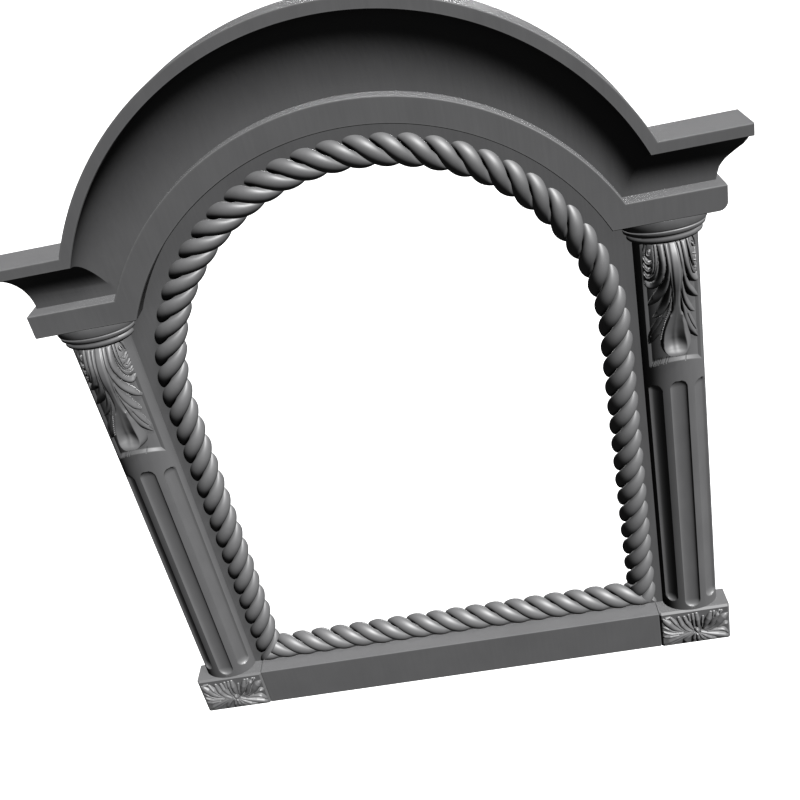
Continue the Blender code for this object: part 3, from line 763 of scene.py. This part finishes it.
leafSizes = {
    "top": 365.0, "topSlope": 20.0, "edgeFall": 14.0,
    # where the middle of the leaf stands, in degrees, from its tip to its top
    "sway": ((281.0, -2.0), (295.0, -3.0), (305.0, -0.5), (318.0, 2.5), (364.0, 3.0)),
    "centreHalf": ((365.0, 12.0), (350.0, 11.5), (338.0, 10.5), (328.0, 8.0), (318.0, 7.2),
                   (308.0, 10.5), (300.0, 15.0), (292.0, 18.0), (286.5, 18.8), (283.4, 17.6),
                   (281.4, 14.8), (280.2, 11.0), (279.5, 6.0), (279.2, 0.3)),
    # how far the middle stands before the shaft
    "centreRise": ((366.0, -1.6), (364.0, -1.4), (362.0, 0.1), (360.0, 1.9), (356.0, 5.1),
                   (352.0, 7.3), (348.0, 8.6), (344.0, 9.2), (340.0, 9.3), (336.0, 8.9),
                   (332.0, 8.1), (328.0, 7.1), (324.0, 6.2), (318.0, 5.1), (312.0, 4.5),
                   (304.0, 4.2), (296.0, 4.3), (288.0, 4.9), (284.0, 5.6), (280.0, 6.4)),
    "crease": 1.7, "creaseWidth": 0.6,
    "ribs": 0.9, "ribPlace": 0.56, "ribWidth": 0.15, "ribFade": 12.0, "stemRound": 6,
    "bowl": ((322.0, 0.0), (316.0, 0.1), (308.0, 0.9), (300.0, 1.9), (294.0, 3.0), (290.0, 3.8),
             (287.0, 3.5), (284.0, 2.0), (281.5, 0.4), (279.0, 0.0)),
    "bowlEdge": 0.92, "bowlVein": 0.12, "veinWidth": 0.2, "spoonTop": 316.0, "spoonFade": 16.0,
    "spoonBlend": 3.0, "flankLeft": 2.6, "flankRight": 5.2, "flankRound": 0.8,
    "shellShare": 0.66, "shellHalf": 62.0, "shellFoot": 329.0, "shellFade": 9.0,
    # each blade: line of (degrees from the middle, height), half widths, heights, groove, lean
    "blades": (
        (((22.4, 366), (18.8, 352), (20.6, 344), (27.6, 336.6), (38, 332.6), (52, 333.2)),
         (2.9, 2.9, 3.0, 3.1, 3.0, 2.0), (8.4, 9.0, 8.6, 7.2, 5.6, 3.4), 0.0, 0.3),
        (((30.5, 365), (28.5, 356), (29, 349), (33, 342.6), (42, 339)),
         (1.5, 1.6, 1.5, 1.3, 1.0), (7.2, 7.2, 6.6, 5.6, 4.2), 0.0, 0.2),
        (((36, 363.5), (45, 362.6), (51, 359), (52, 355)), (1.2, 1.5, 1.4, 1.0),
         (5.6, 5.4, 4.4, 3.4), 0.0, 0.0),
        (((39.6, 357), (40.6, 355.6)), (1.7, 1.7), (5.2, 5.2), 0.0, 0.0),
        (((36, 350.4), (42, 350), (51, 352)), (1.5, 2.0, 1.7), (4.6, 4.8, 2.8), 0.0, 0.0),
        (((36, 345.8), (43, 344.6), (53, 346.4)), (1.5, 2.0, 1.6), (4.4, 4.5, 2.7), 0.0, 0.0),
        (((38, 341.0), (45, 339.4), (53, 340.6)), (1.4, 1.9, 1.5), (4.2, 4.2, 2.6), 0.0, 0.0),
        (((12.2, 366), (10.6, 350), (12.8, 340), (20, 330.4), (34, 322.6), (49, 317.6)),
         (1.9, 2.0, 2.3, 2.8, 3.1, 1.2), (9.0, 9.8, 9.2, 7.2, 5.2, 3.0), 0.0, 0.3),
        (((8, 344), (9.4, 334), (12.4, 325), (18, 317.8), (28, 311.4), (39.5, 307.6)),
         (1.0, 1.6, 2.2, 2.7, 2.6, 0.7), (8.0, 8.0, 6.8, 5.4, 4.2, 2.6), 0.0, 0.3),
        (((7, 332), (10, 322), (15.5, 313), (24, 304.4), (35, 296.6), (44, 291), (51, 286.4)),
         (0.8, 1.6, 2.6, 3.7, 4.2, 3.1, 0.6), (6.6, 6.0, 5.0, 4.3, 3.6, 3.0, 2.0), 0.5, 0.2),
    ),
    # each cut: line, half width, depth
    "cuts": ((((21, 308), (31, 300), (43, 293)), 0.3, 0.6),),
    # the row of beads: line, half width, height, count, and how much of the height is beaded
    "beads": (((-8.5, 325), (-12.5, 314), (-17.5, 304), (-23.5, 292)), 0.6, 5.4, 20, 0.1),
}


def toLength(line, size):  # degrees round the shaft become millimetres
    return [(degrees * size["degreeLength"], height) for degrees, height in line]


def leafBlades(away, height, size, leaf):  # the swell behind the leaf, and the lobes on it
    across = away * size["degreeLength"]
    swell = smoothTable(height, leaf["centreRise"]) + size["panelDepth"]
    fade = easeInOut((height - leaf["shellFoot"]) / leaf["shellFade"])
    relief = leaf["shellShare"] * swell * fade * np.clip(1 - (away / leaf["shellHalf"]) ** 2, 0, 1)
    slope = easeOut((leaf["top"] - height) / leaf["topSlope"])
    second = np.zeros(away.shape)
    for line, widths, heights, groove, lean in leaf["blades"]:
        line = toLength(line, size)
        body = slope * blade(across, height, line, widths, heights, groove, lean)
        second = np.maximum(second, np.minimum(relief, body))
        relief = np.maximum(relief, body)
    relief = relief - creases(relief, second, leaf)
    for line, width, depth in leaf["cuts"]:
        distance = alongLine(across, height, smoothLine(toLength(line, size)))[0]
        relief -= depth * np.exp(-(distance / width) ** 2) * (relief > depth)
    return relief


def leafBeads(offset, height, size, leaf):
    line, width, tall, count, swell = leaf["beads"]
    distance, _, share = alongLine(offset * size["degreeLength"], height, toLength(line, size))
    bead = tall * (1.0 - swell + swell * np.cos(2 * math.pi * count * share))
    return bead * np.sqrt(np.clip(1.0 - (distance / width) ** 2, 0, 1))


def leafMiddle(offset, height, size, leaf):  # ribs above, a hollowed spoon with flanks below
    away = np.abs(offset)
    rise = smoothTable(height, leaf["centreRise"]) + size["panelDepth"]
    half = smoothTable(height, leaf["centreHalf"])
    share = np.clip(away / np.maximum(half, leaf["centreHalf"][-1][1]), 0.0, 1.0)
    ribs = np.clip((height - leaf["spoonTop"]) / leaf["ribFade"], 0.0, 1.0)
    stem = rise * (1.0 - share ** leaf["stemRound"]) ** 0.5
    rib = np.exp(-((share - leaf["ribPlace"]) / leaf["ribWidth"]) ** 2)
    stem -= leaf["ribs"] * ribs * rib
    spoon = easeInOut((leaf["spoonTop"] - height) / leaf["spoonFade"])
    beyond = np.clip(away - half, 0.0, None) * size["degreeLength"]
    noFlank = 0.01  # keeps the division whole where there is no flank
    flankWidth = np.where(offset > 0, leaf["flankRight"], leaf["flankLeft"]) * spoon + noFlank
    flank = rise * np.clip(1.0 - beyond / flankWidth, 0.0, 1.0) ** leaf["flankRound"]
    body = stem + (flank - stem) * np.clip(leaf["spoonBlend"] * spoon, 0.0, 1.0)
    vein = leaf["bowlVein"] * np.exp(-(share / leaf["veinWidth"]) ** 2)
    bowlShape = np.clip(1.0 - (share / leaf["bowlEdge"]) ** 2, 0.0, 1.0) - vein
    body -= smoothTable(height, leaf["bowl"]) * bowlShape
    within = (height < leaf["centreHalf"][0][0]) & (height > leaf["centreHalf"][-1][0])
    return body, within & ((share < 1.0) | (spoon > 0))


def leafRelief(degrees, height, size, leaf):
    offset = degrees - smoothTable(height, leaf["sway"])
    relief = leafBlades(np.abs(offset), height, size, leaf)
    relief = np.maximum(relief, leafBeads(offset, height, size, leaf))
    middle, within = leafMiddle(offset, height, size, leaf)
    relief = np.where(within, np.maximum(relief, middle), relief)
    return relief * easeOut((size["panelHalfAngle"] - np.abs(degrees)) / leaf["edgeFall"])


def fluteRelief(degrees, height, size):
    deepest = np.zeros(degrees.shape)
    for middle, half, foot, top in size["flutes"]:
        across = np.abs(np.abs(degrees) - middle) / half
        end = 1.0 - np.clip(np.minimum(height - foot, top - height) / size["fluteRound"], 0, 1)
        hollow = np.clip(1.0 - across ** 2 - end ** 2, 0.0, 1.0)
        deepest = np.maximum(deepest, size["fluteDepth"] * np.sqrt(hollow))
    return -deepest


def shaftRelief(degrees, height, size, leaf):
    foot = size["ledge"] - size["ledgeFall"] * (np.abs(degrees) / size["ledgeSpan"]) ** 2
    fromSide = (size["panelHalfAngle"] - np.abs(degrees)) * size["degreeLength"]
    wall = np.clip(fromSide / size["wall"], 0.0, 1.0)
    ledge = np.clip((height - foot) / size["ledgeTall"], 0.0, 1.0)
    ground = -size["panelDepth"] * np.minimum(wall, ledge)
    above = height > foot - size["ledgeStart"]
    onLedge = np.exp(-((height - foot) / size["ledgeTall"] - size["nickMiddle"]) ** 4)
    for place in size["nicks"]:
        slanted = degrees - place - size["nickSlant"] * (height - foot)
        cut = np.exp(-(slanted / size["nickWidth"]) ** 2)
        ground = ground - size["nickDepth"] * cut * onLedge * above
    carved = ground + leafRelief(degrees, height, size, leaf)
    return np.where(above, carved, fluteRelief(degrees, height, size))


def columnAngles(size):
    inner = size["panelHalfAngle"] + size["panelMargin"]
    carved = np.linspace(-inner, inner, round(2 * inner / size["angleStep"]) + 1)
    flank = np.linspace(inner, 90.0, round((90.0 - inner) / size["flankStep"]) + 1)[1:]
    return np.concatenate([-flank[::-1], carved, flank])


def buildColumn(side, size, leaf):
    degrees = columnAngles(size)
    levels = np.concatenate([np.arange(*band) for band in size["levels"]])
    rows = np.concatenate([levels, [z for z, swell in size["neck"]]])
    swell = np.concatenate([np.zeros(len(levels)), [s for z, s in size["neck"]]])
    angles, heights = np.meshgrid(degrees, rows)
    relief = shaftRelief(angles, heights, size, leaf)
    relief[len(levels):] = 0.0  # the neck rings are plain
    relief[:, [0, -1]] = 0.0
    turn = np.radians(angles)
    wide = size["halfWidth"] + swell[:, None]
    deep = size["depth"] + swell[:, None] * size["neckDepthShare"]
    outX, outY = np.sin(turn) / wide, -np.cos(turn) / deep
    length = np.hypot(outX, outY)
    x = side * size["axisX"] + wide * np.sin(turn) + outX / length * relief
    y = -boardFront - wallGap - deep * np.cos(turn) + outY / length * relief
    points = np.stack([x, y, heights], -1).reshape(-1, 3)
    width, count = len(degrees), len(rows)
    faces = gridFaces(count, width)
    top = (count - 1) * width
    faces.append(tuple(range(width)))
    faces.append(tuple(range(top + width - 1, top - 1, -1)))
    for first in range(0, top, width):  # the flat back, from one side to the other
        last = first + width - 1
        faces.append((first, first + width, last + width, last))
    piece = makeMesh("columnLeft" if side < 0 else "columnRight", points, faces)
    storeReliefMasks(piece, relief)
    node = "column_left" if side < 0 else "column_right"
    finishPiece(piece, node, carvedPaint, size["smoothAngle"])


for side in (-1, 1):
    buildColumn(side, columnSizes, leafSizes)
print("columns carved")


# Rosette blocks: petals round a boss, on the face of a plain block
rosetteSizes = {
    "step": 0.24, "bevel": 1.6, "sideBevel": 1.5, "front": 19.9, "edge": 0.4, "edgeRound": 0.3,
    "browFade": 1.2, "sideFade": 0.8, "smoothAngle": 28,
    "spread": 1.15, "lift": 1.15, "tipShare": 0.55, "crease": 2.0, "creaseWidth": 0.6,
    "boss": (29.4, 14.4, 2.1, 3.0, -0.175, 3.4),  # place, half sizes, slant, height
    "bossRing": 0.8, "ringPlace": 0.45, "ringWidth": 0.4,
    # each blade: line of (across, height), half widths, heights, groove
    "blades": (
        (((26.9, 17), (26.7, 22), (26.4, 28), (26.6, 31.6)), (1.0, 1.3, 1.4, 1.0),
         (1.8, 2.3, 2.3, 1.7), 0.0),
        (((30.2, 17), (30, 22), (29.8, 27), (29.6, 31.8)), (1.2, 1.9, 1.9, 1.3),
         (2.0, 2.7, 2.7, 2.1), 0.0),
        (((33.4, 18), (33.8, 23), (34.8, 28)), (0.6, 1.0, 0.9), (1.7, 2.2, 1.7), 0.0),
        (((34.4, 15.6), (37.2, 21.5), (39.3, 26), (41.2, 31)), (0.9, 2.1, 2.3, 1.4),
         (1.9, 2.7, 2.7, 1.9), 0.0),
        (((43.2, 28), (43.8, 31.4)), (1.2, 1.2), (2.2, 2.2), 0.0),
        (((47.2, 30.4), (48.4, 31.8)), (1.1, 1.1), (2.1, 2.0), 0.0),
        (((34.6, 14.2), (40, 17), (43, 23), (46, 28.4), (50, 31.4)), (0.7, 1.8, 2.2, 2.0, 1.1),
         (1.7, 2.4, 2.7, 2.5, 1.9), 0.0),
        (((36, 13), (43.5, 15.6), (48, 21), (51.5, 25), (54.4, 27.2)), (0.7, 1.9, 3.0, 2.7, 1.2),
         (1.6, 2.3, 2.7, 2.5, 1.7), 0.0),
        (((42, 14), (48.5, 16.6), (52.5, 18.6), (55.2, 16.6)), (0.6, 1.1, 1.2, 0.8),
         (1.8, 2.6, 3.0, 2.2), 0.0),
        (((38, 11.9), (46.3, 12.4), (51.2, 11.4), (54.6, 6)), (0.8, 1.3, 1.3, 0.8),
         (1.8, 2.4, 2.8, 2.0), 0.0),
        (((32.5, 12), (40, 9), (46, 6.6), (51.8, 4.4), (54.8, 2)), (0.8, 1.6, 2.2, 1.9, 0.8),
         (1.8, 2.6, 2.8, 2.4, 1.7), 0.0),
        (((31.8, 10.8), (36, 7.2), (40, 4), (44, 1.6)), (0.8, 1.6, 1.7, 1.0),
         (1.7, 2.4, 2.4, 1.7), 0.0),
        (((31, 10.4), (33, 6), (35.5, 1.8)), (0.9, 1.5, 1.1), (1.7, 2.3, 1.8), 0.0),
        (((29.4, 10.4), (29.8, 6), (29.8, 1.6)), (1.0, 1.6, 1.2), (1.8, 2.4, 1.9), 0.0),
        (((27.4, 11), (26.4, 6.4), (25.4, 1.8)), (0.9, 1.5, 1.1), (1.7, 2.3, 1.8), 0.0),
        (((26.6, 12), (22.5, 8.8), (19.6, 5), (18.2, 1.8)), (0.8, 1.6, 1.8, 1.1),
         (1.8, 2.4, 2.4, 1.7), 0.0),
        (((26, 13.4), (19, 10.6), (13, 7.6), (7, 4.6), (2.6, 2)), (0.8, 1.8, 2.5, 2.3, 1.0),
         (1.8, 2.6, 2.7, 2.3, 1.6), 0.8),
        (((14, 11.4), (7, 10.8), (2, 10.6)), (0.8, 1.4, 1.0), (1.7, 2.1, 1.6), 0.0),
        (((18, 14.8), (10, 16.7), (5.7, 20.2), (2.6, 21.4)), (0.7, 1.1, 1.1, 0.8),
         (1.7, 2.1, 2.3, 1.8), 0.0),
        (((18, 13.4), (8, 13.9), (2, 16.2)), (0.7, 1.2, 0.9), (1.7, 2.1, 1.7), 0.0),
        (((18.4, 15.2), (11, 19.6), (6.2, 25.4), (2.6, 29.6)), (0.8, 2.3, 2.8, 1.4),
         (1.7, 2.6, 2.7, 1.8), 0.0),
        (((21, 14), (15.4, 20.4), (12, 25.6), (9, 30.2)), (0.6, 1.1, 1.6, 1.2),
         (1.8, 2.7, 2.9, 2.0), 0.0),
        (((25.4, 13.8), (20.4, 17.4), (17, 23), (15, 30)), (0.7, 1.5, 2.0, 1.3),
         (1.8, 2.7, 3.0, 2.1), 0.0),
        (((26.8, 15.2), (23.6, 20), (21.2, 25), (19.6, 30)), (0.8, 1.6, 1.8, 1.2),
         (1.8, 2.6, 2.7, 2.0), 0.0),
        (((23.8, 26.5), (23.2, 31.2)), (1.1, 1.1), (2.1, 2.0), 0.0),
        (((4.6, 31.6), (8, 31.8)), (0.8, 0.8), (1.8, 1.8), 0.0),
    ),
}


def rosetteRelief(across, height, size):
    relief = np.zeros(across.shape)
    second = np.zeros(across.shape)
    for line, widths, heights, groove in size["blades"]:
        widths = [width * size["spread"] for width in widths]
        heights = [size["lift"] * tall for tall in heights[:-1]] + [size["tipShare"] * heights[-1]]
        body = blade(across, height, line, widths, heights, groove)
        second = np.maximum(second, np.minimum(relief, body))
        relief = np.maximum(relief, body)
    relief = relief - creases(relief, second, size)
    x, z, halfX, halfZ, slant, rise = size["boss"]
    offset = across - x - slant * (height - z)
    inside = 1.0 - (offset / halfX) ** 2 - ((height - z) / halfZ) ** 2
    ring = np.exp(-((inside + size["ringPlace"]) / size["ringWidth"]) ** 2)
    relief = relief * (1.0 - size["bossRing"] * ring)
    return np.where(inside > 0, np.maximum(relief, rise * np.clip(inside, 0, 1) ** 0.5), relief)


def buildBlock(node, name, size):
    low, high = boxInMm(node)
    width, tall, front = high.x - low.x, high.z, size["front"]
    brow = tall - size["bevel"]  # where the front leans back to the top
    edge, step, side = size["edge"], size["step"], size["sideBevel"]
    between = np.linspace(side + edge, width - side - edge, round(width / step))
    across = np.concatenate([[0.0, side], between, [width - side, width]])
    levels = np.concatenate([[0.0, size["edgeRound"] * edge, edge],
                             np.linspace(2 * edge, brow - edge, round(brow / step)), [brow]])
    u, v = np.meshgrid(across, levels)
    relief = rosetteRelief(u, v, size) * np.clip((brow - v) / size["browFade"], 0, 1)
    inset = np.minimum(np.minimum(u, width - u) - side, v - edge)
    relief *= np.clip(inset / size["sideFade"], 0, 1)
    cornerLoss = edge - np.sqrt(np.clip(edge ** 2 - np.clip(edge - v, 0, None) ** 2, 0, None))
    chamfer = np.clip(side - np.minimum(u, width - u), 0, None)
    depth = front + relief - np.maximum(cornerLoss, chamfer)
    points = np.stack([low.x + u, -depth, v], -1).reshape(-1, 3).tolist()
    columns, rows = len(across), len(levels)
    faces = gridFaces(rows, columns)
    topRow = (rows - 1) * columns
    setback = len(points)  # the front edge of the top
    sideLoss = np.maximum(np.maximum(side - across, side - width + across), 0)
    setDepths = np.minimum(front - size["bevel"], front - sideLoss)
    points += [(low.x + x, -setDepth, tall) for x, setDepth in zip(across, setDepths)]
    rear = len(points)
    corners = ((low.x, tall), (high.x, tall), (high.x, 0), (low.x, 0))
    points += [(x, backPlane, z) for x, z in corners]
    for i in range(columns - 1):
        faces.append((topRow + i, topRow + i + 1, setback + i + 1, setback + i))
    leftSide = tuple(row * columns for row in range(rows))
    rightSide = tuple(index + columns - 1 for index in leftSide)
    faces.append(tuple(range(setback, setback + columns)) + (rear + 1, rear))
    faces.append(tuple(range(columns)) + (rear + 2, rear + 3))
    faces.append(leftSide + (setback, rear, rear + 3))
    faces.append(rightSide + (setback + columns - 1, rear + 1, rear + 2))
    faces.append((rear, rear + 1, rear + 2, rear + 3))
    piece = makeMesh(name, points, faces)
    storeReliefMasks(piece, depth)
    cutAway(piece, seat)
    finishPiece(piece, node, carvedPaint, size["smoothAngle"])


buildBlock("block_left", "rosetteLeft", rosetteSizes)
buildBlock("block_right", "rosetteRight", rosetteSizes)
bpy.data.objects.remove(seat)
print("blocks carved")


# Floor, camera and light
floorLook = {
    "drop": 1.1, "half": 60.0, "roughness": 0.9, "speckle": 6.0,  # sizes in metres
    "darker": (0.90, 0.90, 0.90), "lighter": (0.93, 0.93, 0.93),
}


def buildFloor(look):
    material = bpy.data.materials.new("paleFloor")
    material.use_nodes = True
    tree = material.node_tree
    shader = tree.nodes["Principled BSDF"]
    shader.inputs["Roughness"].default_value = look["roughness"]
    speckle = addNode(tree, "ShaderNodeTexNoise")
    speckle.inputs["Scale"].default_value = look["speckle"]
    colour = mixColours(tree, speckle.outputs["Fac"], look["darker"], look["lighter"])
    link(tree, colour, shader.inputs["Base Color"])
    half, level = look["half"], railFoot - look["drop"]
    mesh = bpy.data.meshes.new("floor")
    mesh.from_pydata([(-half, -half, level), (half, -half, level), (half, half, level),
                      (-half, half, level)], [], [(0, 1, 2, 3)])
    mesh.materials.append(material)
    floor = addObject("floor", mesh)
    floor.visible_diffuse = False
    floor.visible_glossy = False


cameraSizes = {
    "sensor": 36.0, "lens": 43.456, "place": (0.0725, -0.6189, 0.1007),  # place in metres
    "right": (0.98010, 0.00279, -0.19846), "up": (0.17002, 0.50400, 0.84683),
    "back": (0.10238, -0.86372, 0.49350),
}


def addCamera(size):
    camera = addObject("camera", bpy.data.cameras.new("camera"))
    camera.data.sensor_width = size["sensor"]
    camera.data.lens = size["lens"]
    turn = Matrix((size["right"], size["up"], size["back"])).transposed()
    camera.matrix_world = Matrix.Translation(size["place"]) @ turn.to_4x4()
    bpy.context.scene.camera = camera


lightSizes = {
    # the same large soft lamp twice: the first lights the shadows that the second casts
    "key": {"towards": (0.477, -0.348, 0.807), "angle": 14.0, "strength": 7.4, "shadow": False},
    "shade": {"towards": (0.477, -0.348, 0.807), "angle": 14.0, "strength": 1.1, "shadow": True},
    # a weak lamp straight behind the piece shows its back
    "rear": {"towards": (0.0, 1.0, 0.0), "angle": 14.0, "strength": 2.4, "shadow": False},
    "ambient": 0.03,
}


def addLight(name, look):
    lamp = bpy.data.lights.new(name, "SUN")
    lamp.angle = math.radians(look["angle"])
    lamp.energy = look["strength"]
    lamp.use_shadow = look["shadow"]
    lamp.cycles.max_bounces = 0  # the photo has no light thrown from one face to the next
    light = addObject(name, lamp)
    towards = Vector(look["towards"]).normalized()
    light.rotation_euler = towards.to_track_quat("Z", "Y").to_euler()


def addWorld(ambient):
    world = bpy.data.worlds.new("studio")
    world.use_nodes = True
    tree = world.node_tree
    background = tree.nodes["Background"]
    rays = addNode(tree, "ShaderNodeLightPath")
    seen = rays.outputs["Is Camera Ray"]
    strength = mathNode(tree, "MULTIPLY_ADD", seen, 1.0 - ambient, ambient)
    background.inputs["Color"].default_value = (1.0, 1.0, 1.0, 1.0)
    link(tree, strength, background.inputs["Strength"])
    bpy.context.scene.world = world


buildFloor(floorLook)
addCamera(cameraSizes)
addLight("keyLight", lightSizes["key"])
addLight("shadeLight", lightSizes["shade"])
addLight("rearLight", lightSizes["rear"])
addWorld(lightSizes["ambient"])
bpy.context.scene.view_settings.view_transform = "Standard"
print("stage set")
